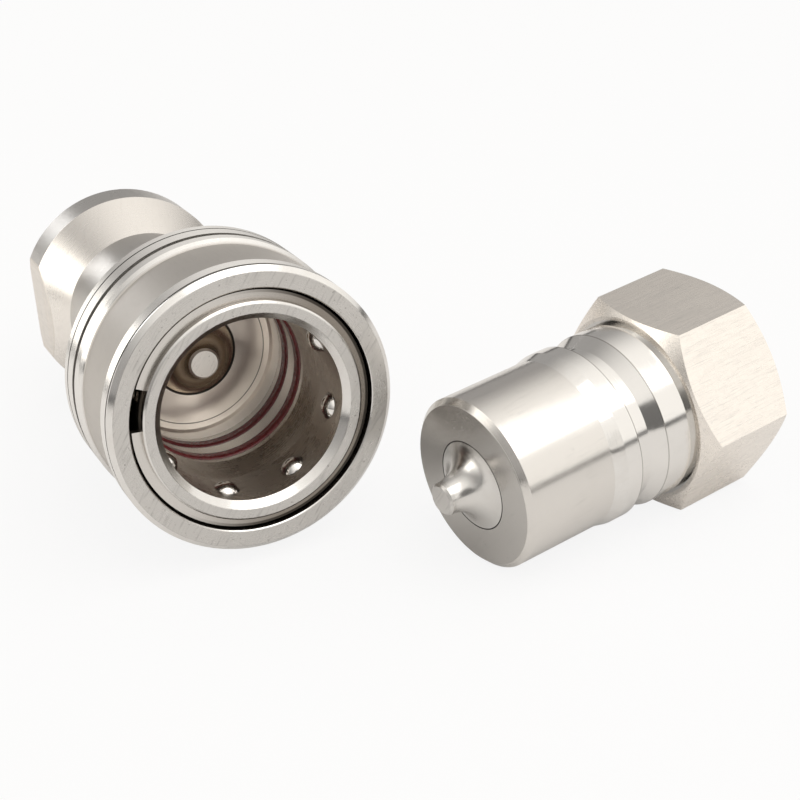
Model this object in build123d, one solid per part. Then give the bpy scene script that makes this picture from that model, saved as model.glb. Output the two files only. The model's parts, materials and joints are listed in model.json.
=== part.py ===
from build123d import *
import math
import os

# Quick coupler for half-inch hydraulic hose, in millimetres: a ball-lock socket and its plug,
# uncoupled and lying side by side on a floor at Z = 0.
# Each half is turned about its own Z axis, with Z = 0 at its front face and Z growing to the rear.

# General clearances
running_gap = 0.1
sliding_gap = 0.05
seal_gap = 0.03
coil_gap = 0.15

# Threaded ports, G 1/2 minor diameter
port_r = 18.63 / 2
port_chamfer = 1.3

# Plug nose and the ball groove behind it, from the front face to the rear
nose_r = 11.75
nose_edge = 0.8
nose_length = 14.0
land_cone = 1.9
land_height = 0.45
land_width = 2.4
groove_depth = 1.2
groove_front_run = 0.8
groove_floor = 1.8
groove_rear_run = 2.0
collar_width = 3.8
undercut_depth = 0.5
undercut_width = 0.9

# Plug hexagon and chamber
hex_flats = 27.0
hex_length = 14.8
hex_face_inset = 0.4
hex_chamfer_angle = 30
chamber_step = 0.3

# Poppet valve, the same in both halves
poppet_r = 6.0
poppet_tip_r = 2.2
poppet_tip_edge = 0.3
poppet_waist_r = 3.1
poppet_waist_reach = 1.8
poppet_reach = 5.0
poppet_rim = 0.8
poppet_groove_depth = 1.0
poppet_travel = 5.0
poppet_flange_thickness = 1.6
stem_r = 2.4
stem_edge = 0.5
valve_seal_section = 1.5
seat_land = 1.0
seat_cone_run = 1.9

# Valve springs and guides
valve_spring_wire = 1.2
valve_spring_mean_r = 4.6
valve_spring_turns = 5
valve_spring_margin = 2.0
guide_thickness = 3.0
guide_hub_r = 4.4
guide_rim = 1.6
guide_windows = 3
guide_window_angle = 84
stem_short = 0.4

# Locking balls
ball_r = 2.0
ball_count = 8
ball_place = 5.0
ball_reach = 1.05
ball_pocket_gap = 0.05
ball_first_angle = 17
ball_lift = 1.0
ball_proud = 0.5

# Socket bore, from the mouth to the valve seat
mouth_clearance = 0.15
mouth_chamfer = 0.95
nose_clearance = 0.1
guide_bore_run = 3.9
lead_in_run = 4.8
bore_seal_section = 2.2
bore_seal_squeeze = 0.2
bore_seal_width = 2.3
bore_seal_lead = 2.1
bore_seal_pitch = 4.8
web_behind_seal = 4.7
web_dish = 0.6
web_step = 0.35

# Socket body
body_edge = 0.3
shoulder_behind_groove = 0.85
thread_step = 1.8
thread_behind_seat = 4.8
joint_seal_section = 1.6
joint_seal_back = 3.4

# Snap ring that stops the sleeve
ring_front = 1.1
ring_thickness = 1.0
ring_seat_depth = 0.8
ring_gap_angle = 21
ring_gap_at = 193

# Locking sleeve and its spring
sleeve_travel = 4.2
sleeve_wall = 3.05
sleeve_tail_wall = 1.5
sleeve_edge = 0.7
sleeve_inner_edge = 0.15
sleeve_set_back = 0.4
sleeve_land_run = 2.6
guide_land_width = 1.6
sleeve_spring_wire = 1.1
sleeve_spring_turns = 3.5
sleeve_spring_margin = 2.75
sleeve_lap = 3.0
sleeve_tail_run = 1.9

# Rings and grooves round the sleeve, the front ones from its front and the others from its tail
front_groove_place = 1.55
front_groove_width = 0.35
front_groove_depth = 0.2
front_ridge = 3.7
recess_depth = 0.6
recess_slope = 0.9
rear_groove_ahead = 1.5
rear_groove_width = 0.3
rear_groove_depth = 0.35
middle_groove_ahead = 2.9
middle_groove_width = 1.0
middle_groove_depth = 0.5
middle_ridge = 2.1

# Rear adapter with two spanner flats, from its flange to its round end
flange_length = 9.0
flange_edge = 0.5
neck_r = 11.6
neck_wall = 2.1
neck_behind_body = 4.5
neck_length = 10.0
adapter_cone_run = 7.7
adapter_band = 6.2
adapter_r = 15.25
adapter_flat_depth = 1.75
adapter_edge = 0.8
guide_shoulder = 1.7
guide_shoulder_width = 1.5

# Retaining ring of the plug's valve guide
clip_wire = 1.0
clip_depth = 0.5
clip_gap_angle = 50
clip_land = 1.0

# Lie of the two halves on the floor, seen from above
plug_turn = 11.7
plug_ahead = -14.5
plug_aside = 23.4

# How far cutting shapes reach past the solids that they cut
past = 1.0

# Sizes that follow: plug
land_start = nose_length + land_cone
land_end = land_start + land_width
land_r = nose_r + land_height
groove_r = land_r - groove_depth
groove_start = land_end + groove_front_run
groove_floor_end = groove_start + groove_floor
groove_end = groove_floor_end + groove_rear_run
collar_end = groove_end + collar_width
undercut_r = land_r - undercut_depth
hex_face = collar_end + undercut_width
hex_corner_r = hex_flats / math.sqrt(3)
hex_face_r = hex_flats / 2 - hex_face_inset
plug_length = hex_face + hex_length
plug_chamber_r = port_r - chamber_step

# Sizes that follow: valve
seat_hole_r = poppet_r + sliding_gap
poppet_back = seat_land + seat_cone_run + poppet_flange_thickness
valve_spring_length = poppet_travel + valve_spring_turns * valve_spring_wire + valve_spring_margin
plug_guide_front = poppet_back + valve_spring_length

# Sizes that follow: socket radii, from the bore outwards
mouth_r = land_r + mouth_clearance
seal_bore_r = nose_r + nose_clearance
seal_floor_r = seal_bore_r - bore_seal_squeeze + bore_seal_section
ball_centre_r = mouth_r - ball_reach + ball_r
body_r = ball_centre_r + ball_r - ball_proud
body_thread_r = body_r - thread_step
ring_seat_r = body_r - ring_seat_depth
sleeve_land_r = ball_centre_r + ball_r + running_gap
spring_chamber_r = body_r + sleeve_spring_wire + 2 * coil_gap
sleeve_r = spring_chamber_r + sleeve_wall
sleeve_tail_r = spring_chamber_r + sleeve_tail_wall
recess_r = sleeve_r - recess_depth
flange_r = spring_chamber_r - running_gap
chamber_r = neck_r - neck_wall

# Sizes that follow: socket places, from the front to the rear
ring_back = ring_front + ring_thickness
sleeve_slope = ball_lift / sleeve_travel
ring_r = sleeve_land_r + (ball_place - ring_back) * sleeve_slope - sliding_gap
sleeve_mouth_r = sleeve_land_r + ball_lift
sleeve_taper_start = ball_place - sleeve_travel
guide_land_start = ball_place + sleeve_land_run
guide_land_end = guide_land_start + guide_land_width
sleeve_spring_length = sleeve_travel + sleeve_spring_turns * sleeve_spring_wire + sleeve_spring_margin
flange_start = guide_land_end + sleeve_spring_length
flange_end = flange_start + flange_length
sleeve_length = flange_start + sleeve_lap
sleeve_tail_start = sleeve_length - sleeve_tail_run
rear_groove_place = sleeve_tail_start - rear_groove_ahead
middle_groove_place = rear_groove_place - middle_groove_ahead
recess_end = middle_groove_place - middle_ridge
lead_in_start = ball_place + guide_bore_run
lead_in_end = lead_in_start + lead_in_run
bore_seal_places = (lead_in_end + bore_seal_lead, lead_in_end + bore_seal_lead + bore_seal_pitch)
body_shoulder = bore_seal_places[-1] + bore_seal_width / 2 + shoulder_behind_groove
web_face = bore_seal_places[-1] + web_behind_seal
body_length = web_face + seat_land + seat_cone_run + thread_behind_seat
joint_seal_place = body_length - joint_seal_back
socket_guide_front = web_face + poppet_back + valve_spring_length
neck_start = body_length + neck_behind_body
neck_end = neck_start + neck_length
adapter_cone_end = neck_end + adapter_cone_run
adapter_length = adapter_cone_end + adapter_band


def turned(points):
    """A solid of revolution from (radius, place) corners, in order."""
    corners = [(radius, 0, place) for radius, place in points]
    return revolve(make_face(Polyline(*corners, close=True)), Axis.Z)


def tube(inner, outer, start, end):
    """A plain ring or disc between two places on the axis."""
    return turned([(inner, start), (outer, start), (outer, end), (inner, end)])


def torus_ring(mean_r, section_r, place):
    """A round seal about the axis."""
    circle = Plane((mean_r, 0, place), x_dir=(1, 0, 0), z_dir=(0, -1, 0)) * Circle(section_r)
    return revolve(circle, Axis.Z)


def coil(mean_r, wire, start, end, turns):
    """An open spring whose end coils touch two seats."""
    height = end - start - wire - 2 * sliding_gap
    path = Helix(height / turns, height, mean_r)
    section = Plane(path @ 0, z_dir=path % 0) * Circle(wire / 2)
    return Pos(0, 0, start + wire / 2 + sliding_gap) * sweep(section, path=path)


def wedge(angle, reach, start, end):
    """A pie slice centred on +X, for cutting gaps and windows."""
    half = math.radians(angle / 2)
    spread = reach / math.cos(half) if angle < 120 else reach * 2
    tip = (spread * math.cos(half), spread * math.sin(half))
    face = make_face(Polyline((0, 0), tip, (tip[0], -tip[1]), close=True))
    return Pos(0, 0, start) * extrude(face, end - start)


def around(count, first_angle=0):
    """Angles evenly spaced about the axis."""
    return [first_angle + index * 360 / count for index in range(count)]


def poppet(face):
    """Trumpet-nosed valve poppet whose rim is flush with a face at the given place."""
    tip = face - poppet_reach
    rim_end = face + poppet_rim
    groove_r = poppet_r - poppet_groove_depth
    disc_front = face + seat_land + seat_cone_run + sliding_gap
    disc_back = face + poppet_back
    disc_r = seat_hole_r + seat_cone_run - 2 * sliding_gap
    stem_end = disc_back + valve_spring_length + guide_thickness - stem_short
    flare = ThreePointArc(
        (poppet_tip_r, 0, tip + poppet_tip_edge),
        (poppet_waist_r, 0, face - poppet_waist_reach),
        (poppet_r, 0, face),
    )
    body = Polyline(
        (poppet_r, 0, face),
        (poppet_r, 0, rim_end),
        (groove_r, 0, rim_end + seat_land - poppet_rim),
        (groove_r, 0, disc_front),
        (disc_r, 0, disc_front),
        (disc_r, 0, disc_back),
        (stem_r, 0, disc_back),
        (stem_r, 0, stem_end - stem_edge),
        (stem_r - stem_edge, 0, stem_end),
        (0, 0, stem_end),
        (0, 0, tip),
        (poppet_tip_r - poppet_tip_edge, 0, tip),
        (poppet_tip_r, 0, tip + poppet_tip_edge),
    )
    return revolve(make_face(flare + body), Axis.Z)


def poppet_seal(face):
    """Round seal in the poppet's groove, just clear of the conical seat."""
    section_r = valve_seal_section / 2
    mean_r = poppet_r - poppet_groove_depth + section_r + sliding_gap
    reach = (section_r + seal_gap) * math.sqrt(2) - (seat_hole_r - mean_r)
    return torus_ring(mean_r, section_r, face + seat_land + reach)


def valve_guide(front, outer_r):
    """Round carrier with flow windows and a bush for the poppet's stem."""
    guide = tube(0, outer_r, front, front + guide_thickness)
    windows = tube(guide_hub_r, outer_r - guide_rim, front, front + guide_thickness)
    for angle in around(guide_windows):
        guide -= windows & Rot(0, 0, angle) * wedge(guide_window_angle, outer_r, front, front + guide_thickness)
    return guide - Cylinder(stem_r + sliding_gap, 4 * (front + guide_thickness))


def valve_spring(face):
    """Spring between the poppet's flange and its guide."""
    start = face + poppet_back
    return coil(valve_spring_mean_r, valve_spring_wire, start, start + valve_spring_length, valve_spring_turns)


def socket_bore():
    """Everything cut from the socket body along its axis, from the mouth to the rear chamber."""
    hole_back = web_face + seat_land
    cone_back = hole_back + seat_cone_run
    return turned([
        (0, -past),
        (mouth_r + mouth_chamfer + past, -past),
        (mouth_r, mouth_chamfer),
        (mouth_r, lead_in_start),
        (seal_bore_r, lead_in_end),
        (seal_bore_r, web_face + web_dish - web_step),
        (seal_bore_r - web_step, web_face + web_dish),
        (seat_hole_r, web_face),
        (seat_hole_r, hole_back),
        (seat_hole_r + seat_cone_run, cone_back),
        (chamber_r, cone_back),
        (chamber_r, body_length + past),
        (0, body_length + past),
    ])


def socket_body():
    """Front body of the socket: guide bore, ball pockets, seal grooves, valve seat and rear thread."""
    body = turned([
        (0, 0),
        (body_r - body_edge, 0),
        (body_r, body_edge),
        (body_r, body_shoulder),
        (body_thread_r, body_shoulder),
        (body_thread_r, body_length),
        (0, body_length),
    ])
    body -= socket_bore()
    body -= tube(ring_seat_r, body_r + past, ring_front - sliding_gap, ring_back + sliding_gap)
    for place in bore_seal_places:
        body -= tube(0, seal_floor_r, place - bore_seal_width / 2, place + bore_seal_width / 2)
    joint_floor_r = body_thread_r - joint_seal_section
    joint_half = joint_seal_section / 2 + coil_gap
    body -= tube(joint_floor_r, body_thread_r + past, joint_seal_place - joint_half, joint_seal_place + joint_half)
    pocket = Sphere(ball_r + ball_pocket_gap) + Pos(0, 0, ball_r) * Cylinder(ball_r + ball_pocket_gap, 2 * ball_r)
    for angle in around(ball_count, ball_first_angle):
        body -= Rot(0, 0, angle) * Pos(ball_centre_r, 0, ball_place) * Rot(0, 90, 0) * pocket
    return body


def locking_ball(angle):
    """One ball, pushed in by the sleeve so that it stands proud of the bore."""
    return Rot(0, 0, angle) * Pos(ball_centre_r, 0, ball_place) * Sphere(ball_r)


def bore_seal(place):
    """Round seal in the socket's bore, which the plug's nose squeezes."""
    mean_r = seal_bore_r - bore_seal_squeeze + bore_seal_section / 2 - seal_gap
    return torus_ring(mean_r, bore_seal_section / 2 - seal_gap, place)


def joint_seal():
    """Seal between the socket body and the rear adapter."""
    section_r = joint_seal_section / 2 - seal_gap
    mean_r = body_thread_r - joint_seal_section + seal_gap + section_r
    return torus_ring(mean_r, section_r, joint_seal_place)


def snap_ring():
    """Open flat ring in the body's front groove, which the sleeve's taper runs against."""
    ring = tube(ring_seat_r + sliding_gap, ring_r, ring_front, ring_back)
    return ring - Rot(0, 0, ring_gap_at) * wedge(ring_gap_angle, ring_r + past, ring_front - past, ring_back + past)


def ring_groove(place, width, depth):
    """A groove round the outside of the sleeve."""
    return tube(sleeve_r - depth, sleeve_r + past, place - width / 2, place + width / 2)


def locking_sleeve():
    """Pull sleeve with a taper and a land over the balls, a guide land and a spring chamber."""
    sleeve = turned([
        (sleeve_mouth_r + sleeve_inner_edge, sleeve_set_back),
        (sleeve_r - sleeve_edge, sleeve_set_back),
        (sleeve_r, sleeve_set_back + sleeve_edge),
        (sleeve_r, front_ridge),
        (recess_r, front_ridge + recess_slope),
        (recess_r, recess_end - recess_slope),
        (sleeve_r, recess_end),
        (sleeve_r, sleeve_tail_start),
        (sleeve_tail_r, sleeve_length),
        (spring_chamber_r, sleeve_length),
        (spring_chamber_r, guide_land_end),
        (body_r + sliding_gap, guide_land_end),
        (body_r + sliding_gap, guide_land_start),
        (sleeve_land_r, guide_land_start),
        (sleeve_land_r, ball_place),
        (sleeve_mouth_r, sleeve_taper_start),
        (sleeve_mouth_r, sleeve_set_back + sleeve_inner_edge),
    ])
    sleeve -= ring_groove(front_groove_place, front_groove_width, front_groove_depth)
    sleeve -= ring_groove(middle_groove_place, middle_groove_width, middle_groove_depth)
    sleeve -= ring_groove(rear_groove_place, rear_groove_width, rear_groove_depth)
    return sleeve


def sleeve_spring():
    """Spring round the body, between the sleeve's guide land and the adapter's flange."""
    mean_r = body_r + coil_gap + sleeve_spring_wire / 2
    return coil(mean_r, sleeve_spring_wire, guide_land_end, flange_start, sleeve_spring_turns)


def rear_adapter():
    """Rear half of the socket: spring flange, neck, cone and round end with two spanner flats."""
    guide_back = socket_guide_front + guide_thickness
    shell = turned([
        (0, flange_start),
        (flange_r, flange_start),
        (flange_r, flange_end - flange_edge),
        (flange_r - flange_edge, flange_end),
        (neck_r, neck_start),
        (neck_r, neck_end),
        (adapter_r, adapter_cone_end),
        (adapter_r, adapter_length - adapter_edge),
        (adapter_r - adapter_edge, adapter_length),
        (0, adapter_length),
    ])
    shell -= turned([
        (0, flange_start - past),
        (body_r + sliding_gap, flange_start - past),
        (body_r + sliding_gap, body_shoulder),
        (body_thread_r + sliding_gap, body_shoulder),
        (body_thread_r + sliding_gap, body_length),
        (chamber_r, body_length),
        (chamber_r, guide_back),
        (chamber_r - guide_shoulder, guide_back),
        (chamber_r - guide_shoulder, guide_back + guide_shoulder_width),
        (port_r, guide_back + guide_shoulder_width),
        (port_r, adapter_length - port_chamfer),
        (port_r + 2 * port_chamfer, adapter_length + port_chamfer),
        (0, adapter_length + port_chamfer),
    ])
    flat_r = adapter_r - adapter_flat_depth
    for side in (-1, 1):
        spare = Box(adapter_flat_depth + past, 2 * adapter_r, adapter_length - neck_start + past)
        middle = neck_start + (adapter_length - neck_start + past) / 2
        shell -= Pos(side * (flat_r + (adapter_flat_depth + past) / 2), 0, middle) * spare
    return shell


def plug_body():
    """Plug in one piece: nose, ball groove, collar and hexagon, with the valve seat inside."""
    hex_depth = (hex_corner_r - hex_face_r) * math.tan(math.radians(hex_chamfer_angle))
    front = turned([
        (0, 0),
        (nose_r - nose_edge, 0),
        (nose_r, nose_edge),
        (nose_r, nose_length),
        (land_r, land_start),
        (land_r, land_end),
        (groove_r, groove_start),
        (groove_r, groove_floor_end),
        (land_r, groove_end),
        (land_r, collar_end),
        (undercut_r, collar_end),
        (undercut_r, hex_face + past),
        (0, hex_face + past),
    ])
    rear = turned([
        (0, hex_face),
        (hex_face_r, hex_face),
        (hex_corner_r, hex_face + hex_depth),
        (hex_corner_r, plug_length - hex_depth),
        (hex_face_r, plug_length),
        (0, plug_length),
    ])
    prism = Pos(0, 0, hex_face) * extrude(RegularPolygon(hex_corner_r, 6), hex_length)
    return front + (rear & prism) - plug_bore() - clip_groove()


def plug_bore():
    """Everything cut from the plug along its axis, from the valve seat to the rear port."""
    cone_back = seat_land + seat_cone_run
    guide_back = plug_guide_front + guide_thickness + clip_wire + clip_land
    return turned([
        (0, -past),
        (seat_hole_r, -past),
        (seat_hole_r, seat_land),
        (seat_hole_r + seat_cone_run, cone_back),
        (plug_chamber_r, cone_back),
        (plug_chamber_r, guide_back),
        (port_r, guide_back + clip_depth),
        (port_r, plug_length - port_chamfer),
        (port_r + 2 * port_chamfer, plug_length + port_chamfer),
        (0, plug_length + port_chamfer),
    ])


def clip_groove():
    """Groove for the ring behind the plug's valve guide."""
    start = plug_guide_front + guide_thickness
    return tube(0, plug_chamber_r + clip_depth, start, start + clip_wire + sliding_gap)


def guide_clip():
    """Open ring that keeps the plug's valve guide in place."""
    start = plug_guide_front + guide_thickness
    outer_r = plug_chamber_r + clip_depth - sliding_gap
    ring = tube(outer_r - 2 * clip_wire, outer_r, start, start + clip_wire)
    return ring - wedge(clip_gap_angle, outer_r + past, start - past, start + clip_wire + past)


def socket_place():
    """The socket leans back from its sleeve's rear ridge onto the round end of its adapter."""
    end_place = adapter_length - adapter_edge
    lean = math.atan((sleeve_r - adapter_r) / (end_place - sleeve_tail_start))
    height = sleeve_tail_start * math.sin(lean) + sleeve_r * math.cos(lean)
    rearward = (0, math.cos(lean), -math.sin(lean))
    return Plane((0, 0, height), x_dir=(1, 0, 0), z_dir=rearward).location


def plug_place():
    """The plug lies on a flat of its hexagon and on the front edge of its nose."""
    half_flats = hex_flats / 2
    flat_start = hex_face + (half_flats - hex_face_r) * math.tan(math.radians(hex_chamfer_angle))
    dip = math.atan((half_flats - nose_r) / (flat_start - nose_edge))
    height = nose_r * math.cos(dip) - nose_edge * math.sin(dip)
    turn = math.radians(plug_turn)
    rearward = (math.cos(turn) * math.cos(dip), math.sin(turn) * math.cos(dip), math.sin(dip))
    sideways = (math.sin(turn), -math.cos(turn), 0)
    return Plane((plug_aside, plug_ahead, height), x_dir=sideways, z_dir=rearward).location


def socket_pieces():
    """The socket's pieces by name, about its own axis."""
    pieces = {
        "socket_body": socket_body(),
        "rear_adapter": rear_adapter(),
        "locking_sleeve": locking_sleeve(),
        "sleeve_spring": sleeve_spring(),
        "sleeve_snap_ring": snap_ring(),
        "body_joint_seal": joint_seal(),
        "socket_poppet": poppet(web_face),
        "socket_poppet_seal": poppet_seal(web_face),
        "socket_poppet_spring": valve_spring(web_face),
        "socket_valve_guide": valve_guide(socket_guide_front, chamber_r - sliding_gap),
    }
    for number, angle in enumerate(around(ball_count, ball_first_angle), 1):
        pieces[f"locking_ball_{number}"] = locking_ball(angle)
    for name, place in zip(("bore_seal_front", "bore_seal_rear"), bore_seal_places):
        pieces[name] = bore_seal(place)
    return pieces


def plug_pieces():
    """The plug's pieces by name, about its own axis."""
    return {
        "plug_body": plug_body(),
        "plug_poppet": poppet(0),
        "plug_poppet_seal": poppet_seal(0),
        "plug_poppet_spring": valve_spring(0),
        "plug_valve_guide": valve_guide(plug_guide_front, plug_chamber_r - sliding_gap),
        "plug_guide_clip": guide_clip(),
    }


def laid_out():
    """Every piece where it lies, with the middle of the whole set's footprint at the origin."""
    placed = {name: socket_place() * piece for name, piece in socket_pieces().items()}
    placed.update({name: plug_place() * piece for name, piece in plug_pieces().items()})
    boxes = [piece.bounding_box() for piece in placed.values()]
    middle_x = (min(box.min.X for box in boxes) + max(box.max.X for box in boxes)) / 2
    middle_y = (min(box.min.Y for box in boxes) + max(box.max.Y for box in boxes)) / 2
    return {name: Pos(-middle_x, -middle_y, 0) * piece for name, piece in placed.items()}


def write_parts():
    os.makedirs("parts", exist_ok=True)
    for name, piece in laid_out().items():
        export_step(piece, f"parts/{name}.step")


write_parts()
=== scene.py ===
import json
import math

import bmesh
import bpy
from mathutils import Matrix, Vector


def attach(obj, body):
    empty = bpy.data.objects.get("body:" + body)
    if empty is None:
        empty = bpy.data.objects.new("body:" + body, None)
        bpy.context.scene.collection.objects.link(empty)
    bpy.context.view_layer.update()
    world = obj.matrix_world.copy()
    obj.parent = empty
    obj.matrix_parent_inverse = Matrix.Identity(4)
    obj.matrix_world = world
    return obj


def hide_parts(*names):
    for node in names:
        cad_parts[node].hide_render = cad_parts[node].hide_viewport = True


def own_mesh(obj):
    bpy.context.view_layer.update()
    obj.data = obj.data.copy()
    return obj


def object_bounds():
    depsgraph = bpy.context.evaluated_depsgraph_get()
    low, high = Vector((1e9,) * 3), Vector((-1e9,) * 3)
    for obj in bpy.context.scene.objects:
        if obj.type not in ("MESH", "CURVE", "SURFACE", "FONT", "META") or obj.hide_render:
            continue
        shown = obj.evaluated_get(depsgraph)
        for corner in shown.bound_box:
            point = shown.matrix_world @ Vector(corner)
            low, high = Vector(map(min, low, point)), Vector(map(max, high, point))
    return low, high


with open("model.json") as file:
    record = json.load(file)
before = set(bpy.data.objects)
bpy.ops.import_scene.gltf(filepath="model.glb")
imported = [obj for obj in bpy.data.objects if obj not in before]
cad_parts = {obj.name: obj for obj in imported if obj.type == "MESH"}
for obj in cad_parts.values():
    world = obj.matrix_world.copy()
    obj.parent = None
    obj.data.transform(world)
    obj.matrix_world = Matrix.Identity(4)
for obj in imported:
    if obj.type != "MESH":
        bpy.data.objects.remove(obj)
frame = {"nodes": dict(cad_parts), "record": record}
cad_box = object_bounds()

# Lengths are in metres. Places on a half are measured along its own axis from its front face.
MM = 0.001
MOUTH_MIDDLE = 4.925 * MM
NOSE_MIDDLE = 7.4 * MM

# Camera, from the reference view; angles in degrees
CAMERA_HEADING = 66.43
CAMERA_DIP = 27.89
CAMERA_ROLL = -2.19
CAMERA_DISTANCE = 250 * MM
CAMERA_TARGET = Vector((-1.5, -12.5, 14.7)) * MM
CAMERA_LENS = 82.7
CAMERA_SENSOR = 36
CAMERA_CLIP = 10 * MM

# Floor
FLOOR_REACH = 4.0
FLOOR_GAP = 0.02 * MM

# Threaded ports: crests stand inside the minor radius, so that the wall keeps its own size
PORT_RADIUS = 9.315 * MM
THREAD_PITCH = 1.814 * MM
THREAD_HEIGHT = 0.5 * MM
THREAD_STEPS = 48
THREAD_RUNOUT_STEPS = 30
SOCKET_PORT = (48.6 * MM, 59.6 * MM)
PLUG_PORT = (23.6 * MM, 39.8 * MM)

# Bore seals
SEAL_RADIUS = 12.7 * MM
SEAL_HALF = 1.11 * MM
SEAL_FRONT = 15.8 * MM
SEAL_REAR = 20.6 * MM
SEAL_STEPS = 180
SEAL_SIDES = 32
SEAL_SQUARENESS = 5

# Springs: mean radius, wire, first and last place, turns, and what is left of the length at full travel
SLEEVE_SPRING = (15.5 * MM, 1.1 * MM, 9.2 * MM, 20.0 * MM, 3.5, 6.6 / 10.8)
SOCKET_VALVE_SPRING = (4.6 * MM, 1.2 * MM, 29.8 * MM, 42.8 * MM, 5, 8 / 13)
PLUG_VALVE_SPRING = (4.6 * MM, 1.2 * MM, 4.5 * MM, 17.5 * MM, 5, 8 / 13)
SPRING_GAP = 0.05 * MM
SPRING_STEPS = 40
WIRE_SIDES = 12

# Depth of the fine relief on each kind of surface
STEEL_RELIEF = 0.009 * MM
WIRE_RELIEF = 0.006 * MM
RUBBER_RELIEF = 0.012 * MM
BALL_RELIEF = 0.0025 * MM

# Ridges round the sleeve: how steeply their finish rises, and the radii in mm where that sets in
RIDGE_SLOPE = 0.4
RIDGE_SETS_IN = (17.7, 18.2)

BALL_COUNT = 8
WHITE = (1.0, 1.0, 1.0, 1.0)


class Half:
    """One half of the coupler: a point on its axis and the directions that its shape is turned about."""

    def __init__(self, mount_name, mount_place):
        mount = next(m for m in frame["record"]["mounts"] if m["name"] == mount_name)
        self.rear = -Vector(mount["axis"]).normalized()
        self.front = Vector(mount["pos_m"]) - self.rear * mount_place
        self.side = self.rear.cross(Vector((0, 0, 1))).normalized()
        self.down = self.rear.cross(self.side).normalized()

    def point(self, radius, angle, place):
        """A point at a radius and an angle about the axis, at a place along it."""
        return (
            self.front
            + self.rear * place
            + self.side * (radius * math.cos(angle))
            + self.down * (radius * math.sin(angle))
        )


SOCKET = Half("socket_mouth", MOUTH_MIDDLE)
PLUG = Half("plug_nose", NOSE_MIDDLE)


class Shade:
    """A number or colour that changes over a surface. Sums of numbers add their own Math nodes."""

    def __init__(self, recipe, socket):
        self.recipe = recipe
        self.socket = socket

    def math(self, operation, *others):
        inputs = dict(enumerate((self,) + others))
        return self.recipe.node("ShaderNodeMath", {"operation": operation}, inputs)

    def __add__(self, other):
        return self.math("ADD", other)

    def __radd__(self, other):
        return self.math("ADD", other)

    def __sub__(self, other):
        return self.math("SUBTRACT", other)

    def __rsub__(self, other):
        return self.recipe.node("ShaderNodeMath", {"operation": "SUBTRACT"}, {0: other, 1: self})

    def __mul__(self, other):
        return self.math("MULTIPLY", other)

    def __rmul__(self, other):
        return self.math("MULTIPLY", other)

    def ramp(self, low, high):
        """0 below low, 1 above high, and a soft rise between them."""
        settings = {"interpolation_type": "SMOOTHSTEP"}
        return self.recipe.node("ShaderNodeMapRange", settings, {"Value": self, 1: low, 2: high})

    def between(self, low, high, blur):
        """1 inside the range and 0 outside it, with soft ends."""
        return self.ramp(low - blur, low) * (1 - self.ramp(high, high + blur))


class Recipe:
    """The nodes of one material, or of the world."""

    def __init__(self, holder):
        self.holder = holder
        holder.use_nodes = True
        self.tree = holder.node_tree
        self.tree.nodes.clear()

    def node(self, kind, settings, inputs, output=0):
        """A node of a kind, with its settings and then its sockets; gives one of its outputs."""
        made = self.tree.nodes.new(kind)
        for key, value in settings.items():
            setattr(made, key, value)
        for key, value in inputs.items():
            if isinstance(value, Shade):
                self.tree.links.new(value.socket, made.inputs[key])
            else:
                made.inputs[key].default_value = value
        return Shade(self, made.outputs[output]) if made.outputs else None

    def colours(self, amount, first, second):
        """A colour between two, by an amount from 0 to 1."""
        settings = {"data_type": "RGBA"}
        return self.node("ShaderNodeMix", settings, {0: amount, 6: first, 7: second}, 2)

    def noise(self, vector, scale, detail=2.0, rough=0.5):
        inputs = {"Vector": vector, "Scale": scale, "Detail": detail, "Roughness": rough}
        return self.node("ShaderNodeTexNoise", {}, inputs, "Fac")

    def vector(self, x, y, z):
        return self.node("ShaderNodeCombineXYZ", {}, {0: x, 1: y, 2: z})

    def reach(self, point, way):
        """How far a point lies along a direction."""
        settings = {"operation": "DOT_PRODUCT"}
        return self.node("ShaderNodeVectorMath", settings, {0: point, 1: way}, "Value")

    def place(self):
        """The point on the piece, in millimetres, which moves with it."""
        where = self.node("ShaderNodeTexCoord", {}, {}, "Object")
        return self.node("ShaderNodeVectorMath", {"operation": "SCALE"}, {0: where, "Scale": 1 / MM})

    def sight(self, camera, mirrored):
        """How much of the plain backdrop a ray sees: from the camera, or off metal and through glass."""
        straight, glossy, through = [
            self.node("ShaderNodeLightPath", {}, {}, f"Is {kind} Ray")
            for kind in ("Camera", "Glossy", "Transmission")
        ]
        return straight * camera + (glossy + through) * mirrored


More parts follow.
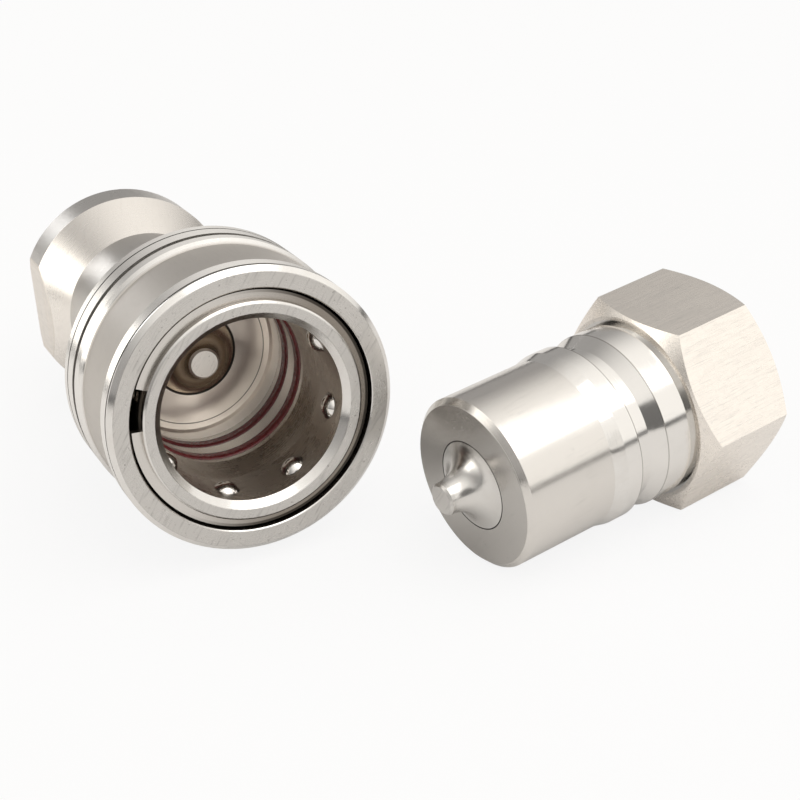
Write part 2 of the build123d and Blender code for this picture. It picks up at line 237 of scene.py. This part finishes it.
class Surface(Recipe):
    """A material on a piece of one half, which knows where it is on that half, in millimetres."""

    def __init__(self, name, half):
        super().__init__(bpy.data.materials.new(name))
        self.point = self.place()
        start = {0: self.point, 1: half.front / MM}
        offset = self.node("ShaderNodeVectorMath", {"operation": "SUBTRACT"}, start)
        self.side = self.reach(offset, half.side)
        self.down = self.reach(offset, half.down)
        self.along = self.reach(offset, half.rear)
        self.radius = (self.side * self.side + self.down * self.down).math("SQRT")
        self.angle = self.down.math("ARCTAN2", self.side)

    def band(self, stretch, radii, blur=0.04):
        """A mask for a stretch of the axis between two radii, in millimetres."""
        return self.along.between(*stretch, blur) * self.radius.between(*radii, blur)

    def turning(self, step, stray):
        """Lines left round a turned surface, so many to the millimetre."""
        lines = self.vector(self.radius * step, self.along * step, self.angle * stray)
        return self.noise(lines, 1.0, 3.0, 0.65)

    def lengthwise(self, step, stray):
        """Lines left along the axis, so many to the millimetre."""
        lines = self.vector(self.side * step, self.down * step, self.along * stray)
        return self.noise(lines, 1.0, 3.0, 0.65)

    def finish(self, base, roughness, height, depth, metallic=1.0, **constants):
        """The surface itself, with its fine relief; depth is in metres."""
        relief = {"Strength": 1.0, "Distance": depth, "Height": height}
        inputs = {
            "Base Color": base,
            "Roughness": roughness,
            "Metallic": metallic,
            "Normal": self.node("ShaderNodeBump", {}, relief),
        }
        inputs.update(constants)
        surface = self.node("ShaderNodeBsdfPrincipled", {}, inputs)
        self.node("ShaderNodeOutputMaterial", {}, {"Surface": surface})
        return self.holder


def steel_colour(value, warmth=0.0):
    """A steel grey, a little warm."""
    return (value * (1.012 + warmth), value, value * (0.978 - warmth), 1.0)


class Steel(Surface):
    """Machined stainless steel: turning lines and soft patches all over, and what is added to them."""

    def __init__(self, name, half, bright, rough):
        super().__init__(name, half)
        self.bright = bright
        fine = self.turning(9.0, 0.35)
        coarse = self.turning(1.6, 0.12)
        patches = self.noise(self.point, 0.2, 3.0, 0.6)
        self.cloud = self.noise(self.point, 0.9, 4.0, 0.7)
        self.grain = self.noise(self.point, 7.0, 2.0, 0.6)
        self.pits = self.noise(self.point, 2.4, 4.0, 0.65).ramp(0.64, 0.72)
        slant = self.vector(self.side * 2.2 + self.down * 1.6, self.down * 0.3, self.along * 0.3)
        scratches = self.noise(slant, 1.0, 3.0, 0.6)
        self.marks = scratches.ramp(0.5, 0.7) * patches.ramp(0.35, 0.6)
        duller = steel_colour(bright * 0.95, 0.012)
        clouded = steel_colour(bright * 0.86, 0.015)
        self.shade = self.colours(patches.ramp(0.35, 0.7), steel_colour(bright), duller)
        self.shade = self.colours(self.cloud.ramp(0.45, 0.75) * 0.25, self.shade, clouded)
        self.roughness = rough + (fine - 0.5) * 0.08 + (patches - 0.5) * 0.1 + (self.cloud - 0.5) * 0.06
        self.height = fine * 0.6 + coarse * 0.3 + self.grain * 0.1

    def streaks(self, amount):
        """Faint lines along the axis; the amount is how far they change the roughness."""
        lines = self.lengthwise(1.5, 0.05)
        self.roughness = self.roughness + (lines - 0.5) * amount
        dark = steel_colour(self.bright * 0.86, 0.02)
        self.shade = self.colours(lines.ramp(0.5, 0.75) * 0.3, self.shade, dark)

    def zone(self, stretch, radii, matte, value, warmth=0.0, pitting=0.0):
        """A stretch between two radii with its own extra roughness, brightness, warmth and pits."""
        mask = self.band(stretch, radii)
        scratched = steel_colour(value * 0.66, warmth)
        tone = self.colours(self.marks * pitting * 0.8, steel_colour(value, warmth), scratched)
        self.roughness = self.roughness + mask * matte
        self.shade = self.colours(mask * 0.92, self.shade, tone)
        pitted = mask * self.pits * pitting
        self.shade = self.colours(pitted, self.shade, steel_colour(value * 0.45, 0.03))
        self.height = self.height - pitted

    def flats(self, stretch, radii, side=None):
        """Flats brushed along the axis: all between two radii, or only those so far to either side."""
        mask = self.band(stretch, radii)
        if side:
            mask = mask * self.side.math("ABSOLUTE").between(side - 0.1, side + 0.1, 0.05)
        brushed = self.lengthwise(6.0, 0.35)
        strokes = self.lengthwise(2.2, 0.12)
        pale = steel_colour(self.bright * 1.1, 0.045)
        clouded = steel_colour(self.bright * 0.98, 0.035)
        tone = self.colours(self.cloud.ramp(0.4, 0.7) * 0.4, pale, clouded)
        stroke = steel_colour(self.bright * 0.84, 0.02)
        tone = self.colours(strokes.ramp(0.45, 0.7) * 0.25, tone, stroke)
        tone = self.colours(brushed.ramp(0.5, 0.72) * 0.4, tone, steel_colour(self.bright * 0.7, 0.02))
        self.shade = self.colours(mask * 0.95, self.shade, tone)
        self.roughness = self.roughness + mask * (0.14 + (brushed - 0.5) * 0.12)
        self.height = self.height * (1 - mask) + mask * (brushed * 0.7 + self.grain * 0.4)

    def rise(self, first, last):
        """A ridge whose finish slopes up towards the rear, so that its front catches the light."""
        climb = self.along.math("MAXIMUM", first).math("MINIMUM", last) - first
        steepness = RIDGE_SLOPE * MM / STEEL_RELIEF
        self.height = self.height + climb * steepness * self.radius.ramp(*RIDGE_SETS_IN)

    def done(self):
        return self.finish(self.shade, self.roughness, self.height, STEEL_RELIEF)


def sleeve_steel():
    steel = Steel("sleeve_steel", SOCKET, bright=0.82, rough=0.14)
    # Front ridge, then the two rear ridges
    steel.zone((1.15, 4.3), (18.75, 19.3), 0.08, 0.88, 0.0, 0.1)
    steel.zone((14.1, 21.2), (18.75, 19.3), 0.08, 0.88, 0.0, 0.1)
    # Recess, front face, and the inside, painted dark olive as shade
    steel.zone((4.3, 14.1), (18.4, 18.75), 0.34, 0.58, 0.035, 0.15)
    steel.zone((0.3, 0.46), (16.4, 18.6), 0.14, 0.6, 0.012, 0.9)
    steel.zone((0.62, 23.5), (14.0, 16.8), 0.12, 0.2, 0.14)
    # Grooves, from the front to the rear, painted dark as shade
    steel.zone((1.35, 1.75), (18.9, 19.15), 0.1, 0.3, 0.03)
    steel.zone((16.15, 17.25), (18.6, 19.0), 0.1, 0.34, 0.02)
    steel.zone((19.4, 19.8), (18.7, 19.15), 0.1, 0.25, 0.03)
    for first, last in ((1.75, 3.75), (14.6, 16.2), (17.2, 19.45), (19.75, 21.1)):
        steel.rise(first, last)
    return steel.done()


def body_steel():
    steel = Steel("body_steel", SOCKET, bright=0.78, rough=0.16)
    # Front face, the outside behind it, the bore of the mouth and the bore with the seals
    steel.zone((-0.1, 0.06), (13.2, 14.6), 0.12, 0.6, 0.01, 0.9)
    steel.zone((0.3, 3.0), (13.6, 14.9), 0.08, 0.6, 0.05)
    steel.zone((0.95, 13.8), (11.8, 12.5), 0.12, 0.5, 0.06, 0.1)
    steel.zone((13.8, 24.9), (11.6, 13.0), 0.05, 0.6, 0.06)
    # Seal grooves painted near black as shade, the web round the valve seat, a dark line painted as shade
    # at its step, and painted shadow in the gap at the seat
    steel.zone((14.6, 21.8), (11.95, 14.5), 0.2, 0.12, 0.03)
    steel.zone((23.0, 27.0), (6.1, 12.0), 0.16, 0.94, 0.035, 0.1)
    steel.zone((23.0, 27.0), (10.5, 10.62), 0.2, 0.3, 0.03)
    steel.zone((25.1, 26.4), (5.9, 6.16), 0.2, 0.02)
    return steel.done()


def adapter_steel():
    steel = Steel("adapter_steel", SOCKET, bright=0.76, rough=0.18)
    # Flange, neck, cone and round end, then the inside of the port
    steel.zone((19.5, 29.0), (15.0, 16.3), 0.18, 0.5, 0.02, 0.1)
    steel.zone((29.0, 47.4), (11.0, 16.2), 0.12, 0.6, 0.02, 0.2)
    steel.zone((47.5, 55.2), (11.0, 15.5), 0.1, 0.92, 0.03, 0.15)
    steel.zone((55.3, 61.5), (14.9, 15.4), 0.12, 0.66, 0.01, 0.3)
    steel.zone((48.0, 62.0), (0.0, 10.2), 0.15, 0.45, 0.05)
    steel.flats((37.0, 61.6), (13.3, 15.5), side=13.5)
    return steel.done()


def plug_steel():
    steel = Steel("plug_steel", PLUG, bright=0.8, rough=0.12)
    steel.streaks(0.12)
    # Front face, painted shadow in the gap round the poppet, and the nose
    steel.zone((-0.1, 0.06), (6.0, 11.1), 0.12, 0.54, 0.02, 0.3)
    steel.zone((-0.1, 1.1), (5.9, 6.15), 0.2, 0.02)
    steel.zone((0.06, 13.9), (10.5, 11.9), 0.07, 0.72, 0.02, 0.2)
    # Ball groove and the lands beside it, dark lines painted as shade at the groove's two edges, and the
    # inside of the port
    steel.zone((15.9, 26.8), (10.5, 12.3), 0.0, 0.8, 0.005, 0.1)
    steel.zone((18.22, 18.36), (11.9, 12.3), 0.1, 0.3, 0.05)
    steel.zone((22.82, 22.92), (11.9, 12.3), 0.1, 0.45, 0.03)
    steel.zone((22.0, 45.0), (0.0, 10.2), 0.15, 0.45, 0.05)
    steel.flats((27.4, 43.0), (12.6, 16.0))
    return steel.done()


def valve_steel():
    steel = Steel("valve_steel", SOCKET, bright=0.7, rough=0.17)
    # Tip, the brown body of the poppet, and painted shadow in the gap at its rim
    steel.zone((19.9, 20.6), (0.0, 2.3), 0.2, 0.8, 0.03, 0.9)
    steel.zone((20.7, 26.2), (0.0, 6.1), 0.05, 0.36, 0.22, 0.1)
    steel.zone((25.0, 26.6), (5.84, 6.1), 0.2, 0.02)
    return steel.done()


def plug_valve_steel():
    steel = Steel("plug_valve_steel", PLUG, bright=0.74, rough=0.22)
    steel.streaks(0.1)
    # Tip of the poppet
    steel.zone((-5.2, -4.7), (0.0, 2.3), 0.15, 0.66, 0.01, 0.6)
    return steel.done()


def ring_steel():
    """Snap ring: bare above, and painted dark olive as shade towards one side and downwards, with a
    near-black painted shadow at its outer edge there.
    """
    ring = Surface("ring_steel", SOCKET)
    fine = ring.turning(9.0, 0.35)
    # Painted shade: darker olive towards one side and downwards
    painted_shade_side = (ring.side + ring.down * 0.3).ramp(-9.0, 8.0)
    # Painted shadow: near black along the outer edge on the shaded side
    painted_shadow_rim = ring.radius.ramp(15.6, 15.75)
    shade = ring.colours(painted_shade_side, steel_colour(0.66, 0.02), steel_colour(0.26, 0.1))
    shade = ring.colours(painted_shadow_rim * painted_shade_side, shade, steel_colour(0.05, 0.12))
    return ring.finish(shade, 0.24 + (fine - 0.5) * 0.12, fine, STEEL_RELIEF)


def spring_steel(name, half):
    """Drawn wire: darker, with fine die lines and a trace of oil sheen."""
    wire = Surface(name, half)
    die = wire.noise(wire.point, 5.0, 3.0, 0.7)
    cloud = wire.noise(wire.point, 0.7, 2.0, 0.5)
    shade = wire.colours(cloud.ramp(0.3, 0.7), steel_colour(0.56, 0.01), steel_colour(0.42, 0.03))
    return wire.finish(shade, 0.24 + (die - 0.5) * 0.16, die, WIRE_RELIEF)


def seal_rubber(name, half, colour, dusty):
    """Moulded rubber with a thin film of oil."""
    rubber = Surface(name, half)
    grain = rubber.noise(rubber.point, 3.0, 3.0, 0.6)
    film = rubber.vector(rubber.radius * 2.0, rubber.along * 2.0, rubber.angle * 7.0)
    sheen = rubber.noise(film, 1.0, 3.0, 0.6)
    base = rubber.colours(grain.ramp(0.3, 0.75), colour, dusty)
    height = grain * 0.5 + sheen * 0.5
    return rubber.finish(base, 0.16 + sheen * 0.2, height, RUBBER_RELIEF, metallic=0.0, IOR=1.5)


def ball_steel():
    """Chromed ball with faint smears."""
    ball = Surface("ball_steel", SOCKET)
    smear = ball.noise(ball.point, 0.9, 3.0, 0.6)
    base = ball.colours(smear.ramp(0.35, 0.7), steel_colour(0.9), steel_colour(0.74, 0.01))
    return ball.finish(base, 0.04 + smear * 0.07, smear, BALL_RELIEF)


def dress(node, material):
    """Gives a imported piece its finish."""
    slots = frame["nodes"][node].data.materials
    slots.clear()
    slots.append(material)


def dress_pieces():
    finishes = {
        "socket_body": body_steel(),
        "rear_adapter": adapter_steel(),
        "locking_sleeve": sleeve_steel(),
        "sleeve_snap_ring": ring_steel(),
        "plug_body": plug_steel(),
    }
    valve = valve_steel()
    plug_valve = plug_valve_steel()
    ball = ball_steel()
    red = seal_rubber("seal_rubber", SOCKET, (0.2, 0.026, 0.03, 1.0), (0.12, 0.022, 0.025, 1.0))
    black = seal_rubber("valve_rubber", SOCKET, (0.022, 0.022, 0.023, 1.0), (0.04, 0.038, 0.036, 1.0))
    for node in ("socket_poppet", "socket_valve_guide"):
        finishes[node] = valve
    for node in ("plug_poppet", "plug_valve_guide", "plug_guide_clip"):
        finishes[node] = plug_valve
    for node in ("bore_seal_front", "bore_seal_rear", "body_joint_seal"):
        finishes[node] = red
    for node in ("socket_poppet_seal", "plug_poppet_seal"):
        finishes[node] = black
    for number in range(1, BALL_COUNT + 1):
        finishes[f"locking_ball_{number}"] = ball
    for node, material in finishes.items():
        dress(node, material)


def swept_piece(name, half, centres, section, material, closed=False):
    """A piece swept round the axis.

    Each centre is (radius, angle, place, size), and each point of the section is (out, along).
    """
    shape = bmesh.new()
    rings = []
    for radius, angle, place, size in centres:
        points = [half.point(radius + out * size, angle, place + along * size) for out, along in section]
        rings.append([shape.verts.new(point) for point in points])
    for ring, following in zip(rings, rings[1:] + rings[:1] * closed):
        for i in range(len(section)):
            j = (i + 1) % len(section)
            shape.faces.new((ring[i], ring[j], following[j], following[i]))
    if not closed:
        shape.faces.new(rings[0])
        shape.faces.new(rings[-1])
    bmesh.ops.recalc_face_normals(shape, faces=shape.faces)
    for face in shape.faces:
        face.smooth = len(face.verts) == 4
    mesh = bpy.data.meshes.new(name)
    shape.to_mesh(mesh)
    shape.free()
    mesh.materials.append(material)
    piece = bpy.data.objects.new(name, mesh)
    bpy.context.scene.collection.objects.link(piece)
    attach(piece, "coupler_bodies")
    return piece


def bore_ring(name, node, place, material):
    """A bore seal that fills its groove: round in the mould, pressed nearly square where it sits."""
    turns = [math.tau * i / SEAL_STEPS for i in range(SEAL_STEPS)]
    centres = [(SEAL_RADIUS, turn, place, SEAL_HALF) for turn in turns]
    section = []
    for i in range(SEAL_SIDES):
        turn = math.tau * i / SEAL_SIDES
        out, along = math.cos(turn), math.sin(turn)
        spread = (abs(out) ** SEAL_SQUARENESS + abs(along) ** SEAL_SQUARENESS) ** (-1 / SEAL_SQUARENESS)
        section.append((out * spread, along * spread))
    piece = swept_piece(name, SOCKET, centres, section, material, closed=True)
    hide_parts(node)


def spring(name, node, half, facts, material):
    """A wire spring swept round the axis from its first to its last place."""
    mean_radius, wire, first, last, turns, keep = facts
    start = first + wire / 2 + SPRING_GAP
    rise = last - first - wire - 2 * SPRING_GAP
    steps = int(turns * SPRING_STEPS)
    centres = []
    for i in range(steps + 1):
        centres.append((mean_radius, math.tau * turns * i / steps, start + rise * i / steps, wire / 2))
    corners = [math.tau * i / WIRE_SIDES for i in range(WIRE_SIDES)]
    section = [(math.cos(corner), math.sin(corner)) for corner in corners]
    piece = swept_piece(name, half, centres, section, material)
    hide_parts(node)
    half.point(0, 0, last)
    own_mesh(piece)


def thread(name, half, stretch, material):
    """A round-cornered thread inside a port, running out at both ends."""
    first, last = stretch
    turns = (last - first) / THREAD_PITCH
    steps = int(turns * THREAD_STEPS)
    foot = THREAD_PITCH / 2 / THREAD_HEIGHT * 0.96
    section = [(0.1, -foot), (-0.86, -0.26), (-1.0, 0.0), (-0.86, 0.26), (0.1, foot)]
    centres = []
    for i in range(steps + 1):
        runout = max(0.04, min(1.0, i / THREAD_RUNOUT_STEPS, (steps - i) / THREAD_RUNOUT_STEPS))
        place = first + (last - first) * i / steps
        centres.append((PORT_RADIUS, math.tau * turns * i / steps, place, THREAD_HEIGHT * runout))
    swept_piece(name, half, centres, section, material)


def add_seals_springs_and_threads():
    red = frame["nodes"]["body_joint_seal"].data.materials[0]
    bore_ring("bore_ring_front", "bore_seal_front", SEAL_FRONT, red)
    bore_ring("bore_ring_rear", "bore_seal_rear", SEAL_REAR, red)
    socket_wire = spring_steel("spring_steel", SOCKET)
    plug_wire = spring_steel("plug_spring_steel", PLUG)
    spring("sleeve_coil", "sleeve_spring", SOCKET, SLEEVE_SPRING, socket_wire)
    spring(
        "socket_valve_coil", "socket_poppet_spring", SOCKET, SOCKET_VALVE_SPRING,
        socket_wire,
    )
    spring("plug_valve_coil", "plug_poppet_spring", PLUG, PLUG_VALVE_SPRING, plug_wire)
    adapter = frame["nodes"]["rear_adapter"].data.materials[0]
    plug = frame["nodes"]["plug_body"].data.materials[0]
    thread("socket_port_thread", SOCKET, SOCKET_PORT, adapter)
    thread("plug_port_thread", PLUG, PLUG_PORT, plug)


def lay_floor():
    """A wide pale floor that shows near white and keeps a soft shadow."""
    mesh = bpy.data.meshes.new("floor")
    shape = bmesh.new()
    bmesh.ops.create_grid(shape, x_segments=2, y_segments=2, size=FLOOR_REACH)
    shape.to_mesh(mesh)
    shape.free()
    floor = bpy.data.objects.new("floor", mesh)
    bpy.context.scene.collection.objects.link(floor)
    floor.location.z = cad_box[0][2] - FLOOR_GAP
    paper = Recipe(bpy.data.materials.new("floor_paper"))
    lit = paper.node("ShaderNodeBsdfDiffuse", {}, {"Color": (0.78, 0.772, 0.768, 1.0)})
    glow = paper.node("ShaderNodeEmission", {}, {"Color": WHITE, "Strength": 1.0})
    mixed = paper.node("ShaderNodeMixShader", {}, {0: paper.sight(0.87, 0.1), 1: lit, 2: glow})
    paper.node("ShaderNodeOutputMaterial", {}, {"Surface": mixed})
    mesh.materials.append(paper.holder)


def lamp(name, place, target, size, power, colour=(1, 1, 1)):
    """A soft box that faces its target."""
    light = bpy.data.lights.new(name, "AREA")
    light.shape = "RECTANGLE"
    light.size, light.size_y = size
    light.energy = power
    light.color = colour
    holder = bpy.data.objects.new(name, light)
    holder.location = place
    holder.rotation_euler = (Vector(target) - Vector(place)).to_track_quat("-Z", "Y").to_euler()
    bpy.context.scene.collection.objects.link(holder)


def light_studio():
    """A room pale above, in front and to the left and grey behind, with a dark gap low down and a stand."""
    world = bpy.data.worlds.new("studio")
    bpy.context.scene.world = world
    room = Recipe(world)
    way = room.node("ShaderNodeTexCoord", {}, {}, "Generated")
    ahead = room.reach(way, Vector((0.45, -0.5, 0.74))).ramp(0.0, 0.8)
    walls = room.colours(ahead, (0.34, 0.325, 0.31, 1.0), (1.16, 1.12, 1.06, 1.0))
    left = room.reach(way, Vector((-0.9, 0.35, 0.25))).ramp(0.78, 0.95)
    walls = room.colours(left * 0.85, walls, (1.0, 0.97, 0.92, 1.0))
    gap = room.reach(way, Vector((0, 0, 1))).between(0.0, 0.07, 0.025)
    stand = room.reach(way, Vector((-0.14, -0.97, 0.18))).ramp(0.89, 0.93)
    walls = room.colours(gap.math("MAXIMUM", stand) * 0.93, walls, (0.05, 0.045, 0.04, 1.0))
    sky = room.node("ShaderNodeBackground", {}, {"Color": walls, "Strength": 1.0})
    paper = room.node("ShaderNodeBackground", {}, {"Color": WHITE, "Strength": 1.0})
    mixed = room.node("ShaderNodeMixShader", {}, {0: room.sight(1.0, 0.08), 1: sky, 2: paper})
    room.node("ShaderNodeOutputWorld", {}, {"Surface": mixed})
    lamp("top_softbox", (0.15, -0.25, 0.55), (0, 0, 0), (0.5, 0.5), 1.0, (1.0, 0.985, 0.96))
    lamp("rear_softbox", (-0.2, 0.55, 0.16), (-0.02, 0, 0.02), (0.2, 0.12), 0.14)
    lamp("left_softbox", (-0.5, 0.13, 0.22), (-0.02, 0.03, 0.02), (0.25, 0.3), 0.3, (1.0, 0.95, 0.87))


def place_camera():
    heading = math.radians(CAMERA_HEADING)
    dip = math.radians(CAMERA_DIP)
    look = Vector((math.cos(dip) * math.cos(heading), math.cos(dip) * math.sin(heading), -math.sin(dip)))
    data = bpy.data.cameras.new("camera")
    data.lens = CAMERA_LENS
    data.sensor_width = CAMERA_SENSOR
    data.clip_start = CAMERA_CLIP
    camera = bpy.data.objects.new("camera", data)
    turn = look.to_track_quat("-Z", "Y").to_matrix().to_4x4()
    roll = Matrix.Rotation(math.radians(CAMERA_ROLL), 4, "Z")
    camera.matrix_world = Matrix.Translation(CAMERA_TARGET - look * CAMERA_DISTANCE) @ turn @ roll
    bpy.context.scene.collection.objects.link(camera)
    bpy.context.scene.camera = camera
    bpy.context.scene.view_settings.view_transform = "Standard"


place_camera()
light_studio()
lay_floor()
dress_pieces()
add_seals_springs_and_threads()
